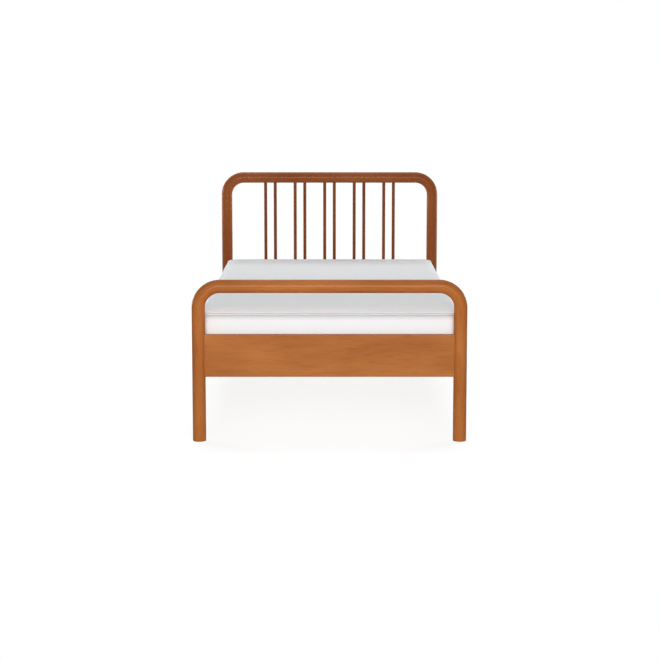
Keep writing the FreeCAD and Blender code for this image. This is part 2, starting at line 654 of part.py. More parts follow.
def slats():
    """The slats across the bed and the two tapes that hold them apart."""
    half = "(Layout.post_axis_x - Sizes.slat_clearance)"
    wide = ("-Sizes.slat_width / 2", "Sizes.slat_width / 2")
    for index in range(int(value("Sizes.slat_count"))):
        place = f"{index} * Layout.slat_pitch + (Sizes.slat_width - Layout.slat_field) / 2"
        body = new_body(f"slat_{index + 1:02d}", "0", place, "Layout.cleat_top")
        slat = block(body, ("-" + half, half), wide, ("0", "Sizes.slat_thickness"))
        ease_long_edges(body, slat, ALONG_X)
        keep(body)
    tape = new_body("left_slat_tape", "-Sizes.tape_place", "0", "Layout.cleat_top")
    across = ("-Sizes.tape_width / 2", "Sizes.tape_width / 2")
    block(tape, across, ("-Layout.slat_field / 2", "Layout.slat_field / 2"), ("-Sizes.tape_thickness", "0"))
    keep(tape)
    keep(mirrored("right_slat_tape", tape))


def rounded_outline(body, inset, z):
    """The mattress outline, set in all round, as four corner arcs and four straight sides."""
    sketch = sketch_on(body, "XY_Plane", z)
    half_x = f"Sizes.mattress_width / 2 - ({inset})"
    half_y = f"Sizes.mattress_length / 2 - ({inset})"
    corner = f"max(Sizes.mattress_corner - ({inset}); Sizes.mattress_corner / 2)"
    radius = value(corner)
    reach_x = value(half_x) - radius
    reach_y = value(half_y) - radius
    for turn, (side_x, side_y) in enumerate(((1, 1), (-1, 1), (-1, -1), (1, -1))):
        centre = FreeCAD.Vector(side_x * reach_x, side_y * reach_y, 0)
        full = Part.Circle(centre, FreeCAD.Vector(0, 0, 1), radius)
        quarter = math.pi / 2
        sketch.addGeometry(Part.ArcOfCircle(full, turn * quarter, (turn + 1) * quarter), False)
    for arc in range(4):
        start = sketch.Geometry[arc].EndPoint
        stop = sketch.Geometry[(arc + 1) % 4].StartPoint
        sketch.addGeometry(Part.LineSegment(start, stop), False)
    for arc in range(4):
        side = arc + 4
        sketch.addConstraint(Sketcher.Constraint("Tangent", arc, 2, side, 1))
        sketch.addConstraint(Sketcher.Constraint("Tangent", side, 2, (arc + 1) % 4, 1))
        sketch.addConstraint(Sketcher.Constraint("Vertical" if arc % 2 else "Horizontal", side))
    for arc in (1, 2, 3):
        sketch.addConstraint(Sketcher.Constraint("Equal", 0, arc))
    bind(sketch, "Radius", (0,), corner)
    bind(sketch, "DistanceX", (-1, 1, 0, 1), half_x)
    bind(sketch, "DistanceY", (-1, 1, 0, 2), half_y)
    bind(sketch, "DistanceX", (-1, 1, 2, 1), f"-({half_x})")
    bind(sketch, "DistanceY", (-1, 1, 2, 2), f"-({half_y})")
    return sketch


def edge_rows(angles, run, low, high):
    """Rows of inset and height over a soft edge: steep beside the seam, flat at the end of the run."""
    rows = []
    for angle in angles:
        inset = f"Sizes.seam_draw + ({run} - Sizes.seam_draw) * (1 - cos({angle} deg)) ^ 2"
        rows.append((inset, f"{low} + ({high} - ({low})) * sin({angle} deg)"))
    return rows


def seam_rows(seam):
    """Rows across the drawn-in groove of a piped seam, between its lips."""
    floor = "Layout.groove_floor"
    return [(floor, f"{seam} - Layout.piping_radius"), (floor, f"{seam} + Layout.piping_radius")]


def mattress_body(label):
    """A body whose origin is the middle of the mattress underside."""
    return new_body(label, "0", "0", "Layout.slat_top")


def mattress_cover():
    """The quilted cover: crowned top, piped seams drawn in, border full at mid height, hollow inside."""
    body = mattress_body("mattress_cover")
    low_lip = "Layout.low_seam - Layout.groove_mouth"
    high_lip = "Layout.high_seam + Layout.groove_mouth"
    rows = edge_rows((90, 60, 30, 0), "Sizes.edge_roll", low_lip, "0")
    rows += seam_rows("Layout.low_seam")
    rows.append(("Sizes.seam_draw", "Layout.low_seam + Layout.groove_mouth"))
    rows.append(("0", "Sizes.mattress_height / 2"))
    rows.append(("Sizes.seam_draw", "Layout.high_seam - Layout.groove_mouth"))
    rows += seam_rows("Layout.high_seam")
    rows += edge_rows((0, 20, 40, 60, 75, 90), "Sizes.crown_run", high_lip, "Sizes.mattress_height")
    outlines = [rounded_outline(body, inset, z) for inset, z in rows]
    form = body.newObject("PartDesign::AdditiveLoft", "mattress_cover_form")
    form.Profile = outlines[0]
    form.Sections = outlines[1:]
    form.Ruled = True
    hollow = rounded_outline(body, "Layout.cavity_inset", "Layout.cavity_top")
    sink_pocket(body, hollow, "Layout.cavity_top - Sizes.cover_thickness")
    keep(body)


def piping(label, seam):
    """Corded piping all round one seam."""
    body = mattress_body(label)
    path = rounded_outline(body, "Layout.piping_inset", seam)
    section = sketch_on(body, "XZ_Plane")
    circle(section, "Sizes.mattress_width / 2 - Layout.piping_inset", seam, "Layout.piping_radius")
    cord = body.newObject("PartDesign::AdditivePipe", label + "_cord")
    cord.Profile = section
    cord.Spine = (path, [])
    keep(body)


def spring_pad(label, low):
    """A felt pad inside the cover."""
    body = mattress_body(label)
    outline = rounded_outline(body, "Layout.cavity_inset + Sizes.pad_clearance", low)
    raise_pad(body, outline, "Sizes.pad_thickness")
    keep(body)


def spring_pockets():
    """The pocket springs, each drawn as the tube of its fabric pocket."""
    body = mattress_body("mattress_spring_pockets")
    sketch = sketch_on(body, "XY_Plane", "Layout.spring_bottom")
    place = ("-Layout.spring_span_x / 2", "-Layout.spring_span_y / 2")
    circle(sketch, *place, "Sizes.spring_diameter / 2")
    circle(sketch, *place, "Sizes.spring_diameter / 2 - Sizes.spring_wall")
    pocket = raise_pad(body, sketch, "Layout.spring_height")
    field = row(body, pocket, sketch, "H_Axis", "Layout.spring_span_x", "Sizes.spring_columns")
    field.Direction2 = (sketch, ["V_Axis"])
    field.setExpression("Length2", "Layout.spring_span_y")
    field.setExpression("Occurrences2", "Sizes.spring_rows")
    keep(body)


def mattress():
    """The mattress, from its cover to its springs."""
    mattress_cover()
    piping("mattress_top_piping", "Layout.high_seam")
    piping("mattress_bottom_piping", "Layout.low_seam")
    spring_pad("mattress_top_pad", "Layout.cavity_top - Sizes.pad_thickness")
    spring_pad("mattress_bottom_pad", "Sizes.cover_thickness")
    spring_pockets()


def check_document():
    """Stop if any object failed or any sub-part has no sound shape."""
    doc.recompute()
    for item in doc.Objects:
        if "Invalid" in item.State or "Error" in item.State:
            raise RuntimeError(f"{item.Label} failed: {item.State}")
    for item in NODES:
        if item.Shape.isNull() or not item.Shape.isValid() or not item.Shape.Solids:
            raise RuntimeError(f"{item.Label} has no sound shape")


hoop("footboard", "leg", -1, "Layout.foot_joint", False)
hoop("headboard", "post", 1, "Layout.head_joint", True)
spindles()
side_rails()
slat_cleats()
fittings()
slats()
mattress()
check_document()

os.makedirs("parts", exist_ok=True)
for item in NODES:
    item.Shape.exportStep(f"parts/{item.Label}.step")
    print(f"{item.Label}: {len(item.Shape.Solids)} solids, {item.Shape.Volume / 1000:.1f} cm3")
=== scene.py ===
import math
import bpy
import numpy as np
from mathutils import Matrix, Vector


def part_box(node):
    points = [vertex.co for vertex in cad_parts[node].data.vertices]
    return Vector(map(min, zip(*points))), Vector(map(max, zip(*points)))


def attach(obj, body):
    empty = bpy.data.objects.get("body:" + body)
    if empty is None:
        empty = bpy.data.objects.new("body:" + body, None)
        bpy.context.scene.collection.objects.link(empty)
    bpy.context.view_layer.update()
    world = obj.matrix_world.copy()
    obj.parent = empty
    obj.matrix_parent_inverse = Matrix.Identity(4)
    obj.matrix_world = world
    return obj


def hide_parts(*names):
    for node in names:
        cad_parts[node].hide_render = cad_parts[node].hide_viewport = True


# A twin bed: two hoops of bent round wood, boards between their legs, a slatted base and a mattress.
# Metres. The origin is on the floor under the middle of the bed, the foot is at -Y, +Z is up.

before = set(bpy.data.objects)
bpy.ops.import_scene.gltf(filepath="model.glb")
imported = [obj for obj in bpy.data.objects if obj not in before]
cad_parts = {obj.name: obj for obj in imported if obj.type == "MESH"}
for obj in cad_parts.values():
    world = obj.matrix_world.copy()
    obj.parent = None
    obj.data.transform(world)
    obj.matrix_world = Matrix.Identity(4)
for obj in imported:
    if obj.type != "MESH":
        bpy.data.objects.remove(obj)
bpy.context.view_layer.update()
scene = bpy.context.scene

AXIS_X = np.array([1.0, 0.0, 0.0])
AXIS_Y = np.array([0.0, 1.0, 0.0])
AXIS_Z = np.array([0.0, 0.0, 1.0])
QUARTER_TURN = np.pi / 2

# Shader nodes


def colour(red, green, blue):
    """A colour given in screen values from 0 to 255, as a shader takes it: the sRGB curve undone."""
    part = np.array([red, green, blue]) / 255
    linear = np.where(part <= 0.04045, part / 12.92, ((part + 0.055) / 1.055) ** 2.4)
    return (*linear.tolist(), 1.0)


def put(tree, kind, inputs, **settings):
    """A node with its settings; inputs are numbers, colours or other nodes' outputs."""
    node = tree.nodes.new("ShaderNode" + kind)
    for name, setting in settings.items():
        setattr(node, name, setting)
    for key, given in inputs.items():
        if isinstance(given, bpy.types.NodeSocket):
            tree.links.new(given, node.inputs[key])
        else:
            node.inputs[key].default_value = given
    return node


def maths(tree, operation, first, second=0.0):
    """The result of a sum on one or two values."""
    return put(tree, "Math", {0: first, 1: second}, operation=operation).outputs[0]


def weighted_sum(tree, *terms):
    """Values, each times its weight, added up."""
    total = maths(tree, "MULTIPLY", *terms[0])
    for value, weight in terms[1:]:
        total = maths(tree, "ADD", total, maths(tree, "MULTIPLY", value, weight))
    return total


def stretched(tree, vector, factors):
    """A vector with each of its parts multiplied."""
    return put(tree, "VectorMath", {0: vector, 1: factors}, operation="MULTIPLY").outputs[0]


def noise(tree, vector, scale, detail=2.0, roughness=0.5):
    """Soft random values between 0 and 1."""
    inputs = {"Vector": vector, "Scale": scale, "Detail": detail, "Roughness": roughness}
    return put(tree, "TexNoise", inputs).outputs["Fac"]


def drawn_out_noise(tree, vector, waves, detail=2.0, roughness=0.5):
    """Noise with its own number of waves to the metre in each direction."""
    return noise(tree, stretched(tree, vector, waves), 1.0, detail, roughness)


def spread(tree, value, low, high, out_low=0.0, out_high=1.0):
    """A value carried from one span to another, and held at its ends."""
    inputs = {"Value": value, "From Min": low, "From Max": high, "To Min": out_low, "To Max": out_high}
    return put(tree, "MapRange", inputs).outputs["Result"]


def blended(tree, share, first, second):
    """Two colours mixed by a share."""
    return put(tree, "Mix", {0: share, 6: first, 7: second}, data_type="RGBA").outputs[2]


def new_group(name, inputs, outputs):
    """An empty node group with its sockets."""
    tree = bpy.data.node_groups.new(name, "ShaderNodeTree")
    for label, kind, given in inputs:
        socket = tree.interface.new_socket(label, in_out="INPUT", socket_type=kind)
        if given is not None:
            socket.default_value = given
    for label in outputs:
        tree.interface.new_socket(label, in_out="OUTPUT", socket_type="NodeSocketFloat")
    return tree, tree.nodes.new("NodeGroupInput").outputs, tree.nodes.new("NodeGroupOutput").inputs


def timber_group():
    """Figure of sawn wood from a place in the plank: thickness, width and length, in metres.

    Rings are circles round a heart that drifts as it runs along the log. Fibre, clouds, streaks and
    pores are noise drawn out along the grain.
    """
    sockets = (("Grain", "NodeSocketVector", None), ("Ring Width", "NodeSocketFloat", 0.007))
    tree, given, made = new_group("timber figure", sockets, ("Tone", "Dashes", "Height"))
    grain = given["Grain"]
    drift = drawn_out_noise(tree, grain, (5.0, 5.0, 1.3))
    wander = drawn_out_noise(tree, grain, (60.0, 60.0, 5.0))
    fibre = drawn_out_noise(tree, grain, (420.0, 420.0, 8.0), detail=3.0, roughness=0.6)
    cloud = drawn_out_noise(tree, grain, (9.0, 9.0, 2.8))
    streak = drawn_out_noise(tree, grain, (130.0, 130.0, 13.0), detail=1.0)
    pore = drawn_out_noise(tree, grain, (760.0, 760.0, 26.0), detail=1.0)

    heart_swing = 0.16
    heart_depth = 0.02
    ring_wander = 1.2
    thickness, width, _ = put(tree, "SeparateXYZ", {0: grain}).outputs
    heart = maths(tree, "ADD", maths(tree, "MULTIPLY", drift, heart_swing), heart_depth)
    deep = maths(tree, "ADD", thickness, heart)
    squares = maths(tree, "ADD", maths(tree, "POWER", deep, 2.0), maths(tree, "MULTIPLY", width, width))
    turns = maths(tree, "DIVIDE", maths(tree, "SQRT", squares), given["Ring Width"])
    turns = maths(tree, "ADD", turns, maths(tree, "MULTIPLY", wander, ring_wander))
    rings = spread(tree, maths(tree, "PINGPONG", turns, 0.5), 0.05, 0.45)

    streaks = spread(tree, streak, 0.58, 0.76)
    dashes = spread(tree, pore, 0.62, 0.74)
    tone = weighted_sum(tree, (rings, 0.07), (fibre, 0.4), (cloud, 1.25), (streaks, -0.28))
    tree.links.new(spread(tree, tone, 0.40, 1.20), made["Tone"])
    tree.links.new(dashes, made["Dashes"])
    tree.links.new(weighted_sum(tree, (fibre, 0.6), (dashes, -0.4)), made["Height"])
    return tree


def cloth_group():
    """Plain weave and soft unevenness of a fabric from a place on it, in metres.

    The weave is the size of sine times sine of the two directions, with a half wave to each thread.
    """
    sockets = (("Place", "NodeSocketVector", None), ("Thread", "NodeSocketFloat", 0.0014))
    tree, given, made = new_group("woven cloth", sockets, ("Weave", "Slub", "Height"))
    place = given["Place"]
    first, second, _ = put(tree, "SeparateXYZ", {0: place}).outputs
    turn = maths(tree, "DIVIDE", math.pi, given["Thread"])
    across = maths(tree, "SINE", maths(tree, "MULTIPLY", first, turn))
    along = maths(tree, "SINE", maths(tree, "MULTIPLY", second, turn))
    weave = maths(tree, "ABSOLUTE", maths(tree, "MULTIPLY", across, along))
    slub = drawn_out_noise(tree, place, (90.0, 900.0, 90.0))
    soft = noise(tree, place, 16.0)
    tree.links.new(weave, made["Weave"])
    tree.links.new(slub, made["Slub"])
    tree.links.new(weighted_sum(tree, (weave, 0.25), (soft, 0.75)), made["Height"])
    return tree


TIMBER = timber_group()
CLOTH = cloth_group()

# Finishes


def new_material(name):
    """An empty material, its tree and its Principled shader."""
    material = bpy.data.materials.new(name)
    material.use_nodes = True
    tree = material.node_tree
    tree.nodes.clear()
    shader = put(tree, "BsdfPrincipled", {})
    output = put(tree, "OutputMaterial", {"Surface": shader.outputs[0]})
    output.is_active_output = True
    return material, tree, shader


def place_on(tree, source):
    """Where a point is: in the plank, on the cloth, or in the object."""
    if source == "grain":
        return put(tree, "Attribute", {}, attribute_name="grain").outputs["Vector"]
    if source == "cloth":
        return put(tree, "UVMap", {}, uv_map="cloth").outputs["UV"]
    return put(tree, "TexCoord", {}).outputs["Object"]


def raised(tree, shader, height, distance, strength):
    """Relief on a shader."""
    bump = put(tree, "Bump", {"Height": height, "Distance": distance, "Strength": strength})
    tree.links.new(bump.outputs[0], shader.inputs["Normal"])


def timber(name, source, dark, light, pore, ring_width, lacquer):
    """Wood: two tones through the figure, darker short pores, and a thin smooth coat of lacquer or none."""
    pore_share = 0.35
    material, tree, shader = new_material(name)
    figure = put(tree, "Group", {}, node_tree=TIMBER)
    tree.links.new(place_on(tree, source), figure.inputs["Grain"])
    figure.inputs["Ring Width"].default_value = ring_width
    tone = figure.outputs["Tone"]
    base = blended(tree, tone, colour(*dark), colour(*light))
    pores = maths(tree, "MULTIPLY", figure.outputs["Dashes"], pore_share)
    tree.links.new(blended(tree, pores, base, colour(*pore)), shader.inputs["Base Color"])
    tree.links.new(spread(tree, tone, 0.0, 1.0, 0.62, 0.5), shader.inputs["Roughness"])
    shader.inputs["Specular IOR Level"].default_value = 0.0
    shader.inputs["Coat Weight"].default_value = lacquer
    shader.inputs["Coat Roughness"].default_value = 0.18
    shader.inputs["Coat IOR"].default_value = 1.8
    raised(tree, shader, figure.outputs["Height"], distance=0.0004, strength=0.25)
    return material


def fabric(name, source, thread, deep, pale, relief, sewn=False):
    """Woven cloth: deep between the threads, pale on them, with a soft uneven surface.

    Near its seams sewn cloth is puckered and has painted shade: grey mixed in as far as its seam attribute
    says.
    """
    # Painted shade: grey mixed into the cloth near seams, standing in for the shade in the grooves and beside
    # the piping.
    painted_seam_shade = colour(176, 177, 179)
    painted_seam_shade_share = 0.85
    pucker_scale = 55.0
    material, tree, shader = new_material(name)
    cloth = put(tree, "Group", {}, node_tree=CLOTH)
    tree.links.new(place_on(tree, source), cloth.inputs["Place"])
    cloth.inputs["Thread"].default_value = thread
    slub = cloth.outputs["Slub"]
    shade = weighted_sum(tree, (cloth.outputs["Weave"], 0.6), (slub, 0.6))
    tone = blended(tree, spread(tree, shade, 0.2, 0.9), colour(*deep), colour(*pale))
    tree.links.new(spread(tree, slub, 0.2, 0.8, 0.82, 0.95), shader.inputs["Roughness"])
    shader.inputs["Specular IOR Level"].default_value = 0.15
    height = cloth.outputs["Height"]
    if sewn:
        painted_shade_near_seam = put(tree, "Attribute", {}, attribute_name="seam").outputs["Fac"]
        # The painted shade is mixed in here, and the same share weights the puckers.
        tone = blended(tree, maths(tree, "MULTIPLY", painted_shade_near_seam, painted_seam_shade_share), tone, painted_seam_shade)
        folds = noise(tree, place_on(tree, "object"), pucker_scale, detail=1.0)
        height = maths(tree, "ADD", height, maths(tree, "MULTIPLY", folds, painted_shade_near_seam))
    tree.links.new(tone, shader.inputs["Base Color"])
    raised(tree, shader, height, relief, strength=0.5)
    return material


def plated_steel(name, dull, bright):
    """Zinc-plated steel: faint cloudy spangle in tone and roughness."""
    material, tree, shader = new_material(name)
    place = place_on(tree, "object")
    spangle = put(tree, "TexVoronoi", {"Vector": place, "Scale": 420.0}).outputs["Color"]
    grey = put(tree, "SeparateColor", {0: spangle}).outputs[0]
    brushed = drawn_out_noise(tree, place, (900.0, 900.0, 60.0))
    share = maths(tree, "MULTIPLY", maths(tree, "ADD", grey, brushed), 0.5)
    tree.links.new(blended(tree, share, colour(*dull), colour(*bright)), shader.inputs["Base Color"])
    tree.links.new(spread(tree, brushed, 0.2, 0.8, 0.28, 0.45), shader.inputs["Roughness"])
    shader.inputs["Metallic"].default_value = 1.0
    raised(tree, shader, brushed, distance=0.0001, strength=0.2)
    return material


def moulded(name, deep, pale):
    """Moulded nylon: fine spark texture and faint mottling."""
    material, tree, shader = new_material(name)
    place = place_on(tree, "object")
    mottle = noise(tree, place, 180.0, detail=3.0)
    spark = noise(tree, place, 2400.0, detail=1.0)
    tree.links.new(blended(tree, mottle, colour(*deep), colour(*pale)), shader.inputs["Base Color"])
    tree.links.new(spread(tree, spark, 0.2, 0.8, 0.45, 0.6), shader.inputs["Roughness"])
    raised(tree, shader, spark, distance=0.0002, strength=0.3)
    return material


def stained(name, dark, light, pore, lacquer):
    """Stained and lacquered wood of the frame."""
    ring_width = 0.0075
    return timber(name, "grain", dark, light, pore, ring_width, lacquer)


LACQUER = 0.085
THIN_LACQUER = 0.05
BARE = 0.0
PINE_RINGS = 0.006
BEECH_RINGS = 0.004

# Wood is given by its dark, light and pore colours, cloth by its thread, deep and pale colours and relief.
STAINED = stained("caramel stained boards", (160, 92, 43), (189, 120, 65), (122, 66, 30), LACQUER)
# Painted shade: the round wood is the board stain a little darker in green and blue, so that the rails look
# less lit.
ROUND_WOOD_PAINTED_SHADE = stained("caramel stained round wood with painted shade", (159, 87, 36), (188, 115, 57), (121, 62, 25), LACQUER)
# Painted shade: the headboard wood is the frame's stain made darker, standing in for the lesser light at the
# head of the bed.
HEAD_WOOD_PAINTED_SHADE = stained("headboard stained wood with painted shade", (142, 72, 33), (169, 97, 50), (104, 51, 23), LACQUER)
# Painted shade: the spindles take the headboard's darker wood, darker still.
SPINDLE_WOOD_PAINTED_SHADE = stained("spindle stained wood with painted shade", (122, 62, 28), (146, 83, 42), (86, 41, 19), THIN_LACQUER)
PALE = timber("bare pine", "grain", (203, 165, 116), (228, 197, 152), (170, 126, 80), PINE_RINGS, BARE)
BEECH = timber("beech dowel", "object", (193, 148, 104), (216, 176, 134), (150, 104, 66), BEECH_RINGS, BARE)
# The mattress knit is sewn: painted shade and puckers near its seams.
TICKING = fabric("mattress knit", "cloth", 0.0016, (241, 243, 245), (249, 251, 252), 0.0009, sewn=True)
CORDING = fabric("piping cloth", "cloth", 0.0011, (217, 218, 219), (236, 236, 237), 0.0004)
WEBBING = fabric("cotton webbing", "cloth", 0.0024, (196, 188, 168), (224, 217, 198), 0.0006)
FELT = fabric("needled felt", "object", 0.0030, (150, 148, 142), (186, 184, 178), 0.0012)
POCKET = fabric("spring pocket fleece", "object", 0.0022, (214, 214, 210), (236, 236, 232), 0.0006)
STEEL = plated_steel("zinc plated steel", (150, 152, 154), (186, 188, 190))
SCREW = plated_steel("screw steel", (138, 136, 128), (178, 175, 165))
NYLON = moulded("brown nylon", (66, 44, 30), (86, 58, 40))

# Meshes

ROUND_SIDES = 64
ROD_SIDES = 32
EASING_STEPS = 6
CREASE_ANGLE = 35.0


def box_of(node):
    """Lowest and highest corner of a CAD node."""
    low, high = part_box(node)
    return np.array(low), np.array(high)


def lattice(rows, columns, closed=False):
    """Quads over rows of points that run round in rings, with each corner's row and column."""
    row, column = np.meshgrid(np.arange(rows if closed else rows - 1), np.arange(columns), indexing="ij")
    corner_rows = np.stack([row, row, row + 1, row + 1], -1).reshape(-1, 4)
    corner_columns = np.stack([column, column + 1, column + 1, column], -1).reshape(-1, 4)
    quads = (corner_rows % rows) * columns + corner_columns % columns
    return quads, corner_rows, corner_columns


def round_profile(radius, sides):
    """A circle: radius times cosine and sine of equal turns."""
    turn = np.arange(sides) * (2 * np.pi / sides)
    return radius * np.stack([np.cos(turn), np.sin(turn)], -1)


def board_profile(thickness, width, easing):
    """A rectangle whose corners are quarter circles of the easing, with a point just past each end."""
    quarter = np.arange(4)[:, None]
    turn = (quarter + np.linspace(0, 1, EASING_STEPS)) * QUARTER_TURN
    centre = np.array([[1, 1], [-1, 1], [-1, -1], [1, -1]]) * (np.array([thickness, width]) / 2 - easing)
    arc = centre[:, None] + easing * np.stack([np.cos(turn), np.sin(turn)], -1)
    way = np.stack([-np.sin(turn), np.cos(turn)], -1) * easing
    before = arc[:, :1] - way[:, :1]
    after = arc[:, -1:] + way[:, -1:]
    return np.concatenate([before, arc, after], 1).reshape(-1, 2)


def sweep(profile, centre, side, up, along, scale):
    """A closed profile along a path: centre + scale * (a * side + b * up) at each station.

    Both ends are closed. The plank coordinate of a point is its a and b and the length along.
    """
    a, b = (profile[None, :, axis] * scale[:, None] for axis in (0, 1))
    points = centre[:, None] + a[..., None] * side[:, None] + b[..., None] * up[:, None]
    grain = np.stack([a, b, np.broadcast_to(along[:, None], a.shape)], -1)
    rows, columns = a.shape
    quads = lattice(rows, columns)[0]
    ring = np.arange(columns)
    faces = quads.tolist() + [ring[::-1].tolist(), (ring + (rows - 1) * columns).tolist()]
    return points.reshape(-1, 3), faces, grain.reshape(-1, 3)


def straight(profile, start, way, side, rows):
    """A profile along a straight line; rows are pairs of distance from the start and scale."""
    rows = np.array(rows, float)
    count = len(rows)
    centre = np.asarray(start) + rows[:, :1] * way
    sides = np.tile(side, (count, 1))
    ups = np.tile(np.cross(way, side), (count, 1))
    return sweep(profile, centre, sides, ups, rows[:, 0], rows[:, 1])


def joined(forms):
    """Several closed forms as one: their points and faces."""
    faces = []
    start = 0
    for points, form_faces, _ in forms:
        faces += [[start + corner for corner in face] for face in form_faces]
        start += len(points)
    return np.concatenate([form[0] for form in forms]), faces


def make_piece(name, form, material, body, node, crease=CREASE_ANGLE):
    """A mesh object of points and faces that rides on a body and stands for a CAD node."""
    points, faces = form
    mesh = bpy.data.meshes.new(name)
    mesh.from_pydata(points.tolist(), [], faces)
    mesh.update()
    mesh.shade_smooth()
    if crease:
        mesh.set_sharp_from_angle(angle=math.radians(crease))
    mesh.materials.append(material)
    piece = bpy.data.objects.new(name, mesh)
    scene.collection.objects.link(piece)
    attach(piece, body)
    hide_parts(node)
    return piece


def add_values(piece, name, kind, values):
    """A named value at each point of a piece."""
    layer = piece.data.attributes.new(name, kind, "POINT")
    field = "vector" if kind == "FLOAT_VECTOR" else "value"
    layer.data.foreach_set(field, np.ascontiguousarray(values, np.float32).ravel())


def add_cloth_map(piece, corners):
    """The cloth's own flat coordinates, in metres, at each face corner."""
    layer = piece.data.uv_layers.new(name="cloth")
    layer.data.foreach_set("uv", np.ascontiguousarray(corners, np.float32).ravel())


def wooden(node, form, log_place, material, body):
    """A wooden piece that stands for a node, cut from the log at a place of its own."""
    points, faces, grain = form
    piece = make_piece(node + "_wood", (points, faces), material, body, node)
    add_values(piece, "grain", "FLOAT_VECTOR", grain + np.array(log_place))


def stepped_place(number, first, step, repeat):
    """Place in the log of a numbered piece: depth and width step and start again, length goes on."""
    depth = first[0] + step[0] * (number % repeat[0])
    width = first[1] + step[1] * (number % repeat[1])
    return depth, width, first[2] + step[2] * number


# Hoops

BEND_STEPS = 30
LEG_ROUNDING = 0.002
LEG_END_ROWS = 7


def leg_end(radius):
    """Rows over the rounded bottom of a leg, a quarter circle: distance from the end and scale."""
    turn = np.linspace(0, QUARTER_TURN, LEG_END_ROWS)
    distance = LEG_ROUNDING * (1 - np.cos(turn))
    return np.stack([distance, 1 - LEG_ROUNDING / radius * (1 - np.sin(turn))], -1)


def elbow(profile, corner, bend, first_turn):
    """A quarter ring: the profile's centre runs round the corner at the bend's radius, from a first turn."""
    turn = first_turn - np.linspace(0, QUARTER_TURN, BEND_STEPS + 1)
    outward = np.stack([np.cos(turn), np.zeros_like(turn), np.sin(turn)], -1)
    centre = np.array(corner) + bend * outward
    along = bend * (first_turn - turn)
    return sweep(profile, centre, outward, np.tile(-AXIS_Y, (len(turn), 1)), along, np.ones(len(turn)))


def hoop(name, leg, log_place, finish):
    """Two posts, two bends and a top rail, each a round tube along its part of one smooth path."""
    post_low, post_high = box_of(f"{name}_left_{leg}")
    rail_low, rail_high = box_of(f"{name}_top_rail")
    radius = (post_high[0] - post_low[0]) / 2
    post_x = -(post_high[0] + post_low[0]) / 2
    plane = (rail_low[1] + rail_high[1]) / 2
    joint = post_high[2]
    top = (rail_low[2] + rail_high[2]) / 2
    reach = rail_high[0]
    bend = top - joint
    length = joint - post_low[2]
    quarter = bend * QUARTER_TURN
    starts = np.cumsum([0.0, length, quarter, 2 * reach, quarter])
    profile = round_profile(radius, ROUND_SIDES)
    end = leg_end(radius)
    up_rows = np.concatenate([end, [[length, 1.0]]])
    down_rows = np.concatenate([[[0.0, 1.0]], end[::-1] * [-1.0, 1.0] + [length, 0.0]])
    rail_rows = [(0, 1), (2 * reach, 1)]
    forms = (
        (f"{name}_left_{leg}", straight(profile, (-post_x, plane, post_low[2]), AXIS_Z, -AXIS_X, up_rows)),
        (f"{name}_left_elbow", elbow(profile, (-reach, plane, joint), bend, np.pi)),
        (f"{name}_top_rail", straight(profile, (-reach, plane, top), AXIS_X, AXIS_Z, rail_rows)),
        (f"{name}_right_elbow", elbow(profile, (reach, plane, joint), bend, QUARTER_TURN)),
        (f"{name}_right_{leg}", straight(profile, (post_x, plane, joint), -AXIS_Z, AXIS_X, down_rows)),
    )
    for (node, form), start in zip(forms, starts):
        depth, width, first = log_place
        wooden(node, form, (depth, width, first + start), finish, "frame")


# The footboard hoop takes the round wood with painted shade.
hoop("footboard", "leg", (0.013, 0.4, 3.0), ROUND_WOOD_PAINTED_SHADE)
# The headboard hoop takes the darker wood with painted shade.
hoop("headboard", "post", (-0.021, 0.9, 11.0), HEAD_WOOD_PAINTED_SHADE)

# Boards, slats and spindles

EASING = 0.002
CLEAT_EASING = 0.0008
SLATS = 14
SLAT_LOG = {"first": (0.0, -0.15, 57.0), "step": (0.004, 0.05, 3.1), "repeat": (5, 7)}
SPINDLES = 10
SPINDLE_LOG = {"first": (0.0, 0.0, 110.0), "step": (0.007, 0.011, 1.7), "repeat": (4, 3)}
TENON_RADIUS = 0.0055


def board(node, way, side, log_place, material, body, easing=EASING):
    """A straight board with eased long edges that fills a CAD node's box."""
    low, high = box_of(node)
    size = high - low
    length = float(size @ np.abs(way))
    across = np.abs(np.cross(way, side))
    profile = board_profile(float(size @ np.abs(side)), float(size @ across), easing)
    start = (low + high) / 2 - way * length / 2
    form = straight(profile, start, way, side, [(0, 1), (length, 1)])
    wooden(node, form, log_place, material, body)


def spindle(node, log_place):
    """A round rod with a thinner tenon below its shoulder, which stands on the headboard panel."""
    low, high = box_of(node)
    radius = (high[0] - low[0]) / 2
    foot = ((low[0] + high[0]) / 2, (low[1] + high[1]) / 2, low[2])
    shoulder = box_of("headboard_panel")[1][2] - low[2]
    tenon = TENON_RADIUS / radius
    rows = [(0, tenon), (shoulder, tenon), (shoulder, 1), (high[2] - low[2], 1)]
    form = straight(round_profile(radius, ROD_SIDES), foot, AXIS_Z, AXIS_X, rows)
    # The spindles take the wood with painted shade.
    wooden(node, form, log_place, SPINDLE_WOOD_PAINTED_SHADE, "frame")


board("footboard_panel", AXIS_X, AXIS_Y, (0.0, 0.02, 21.0), STAINED, "frame")
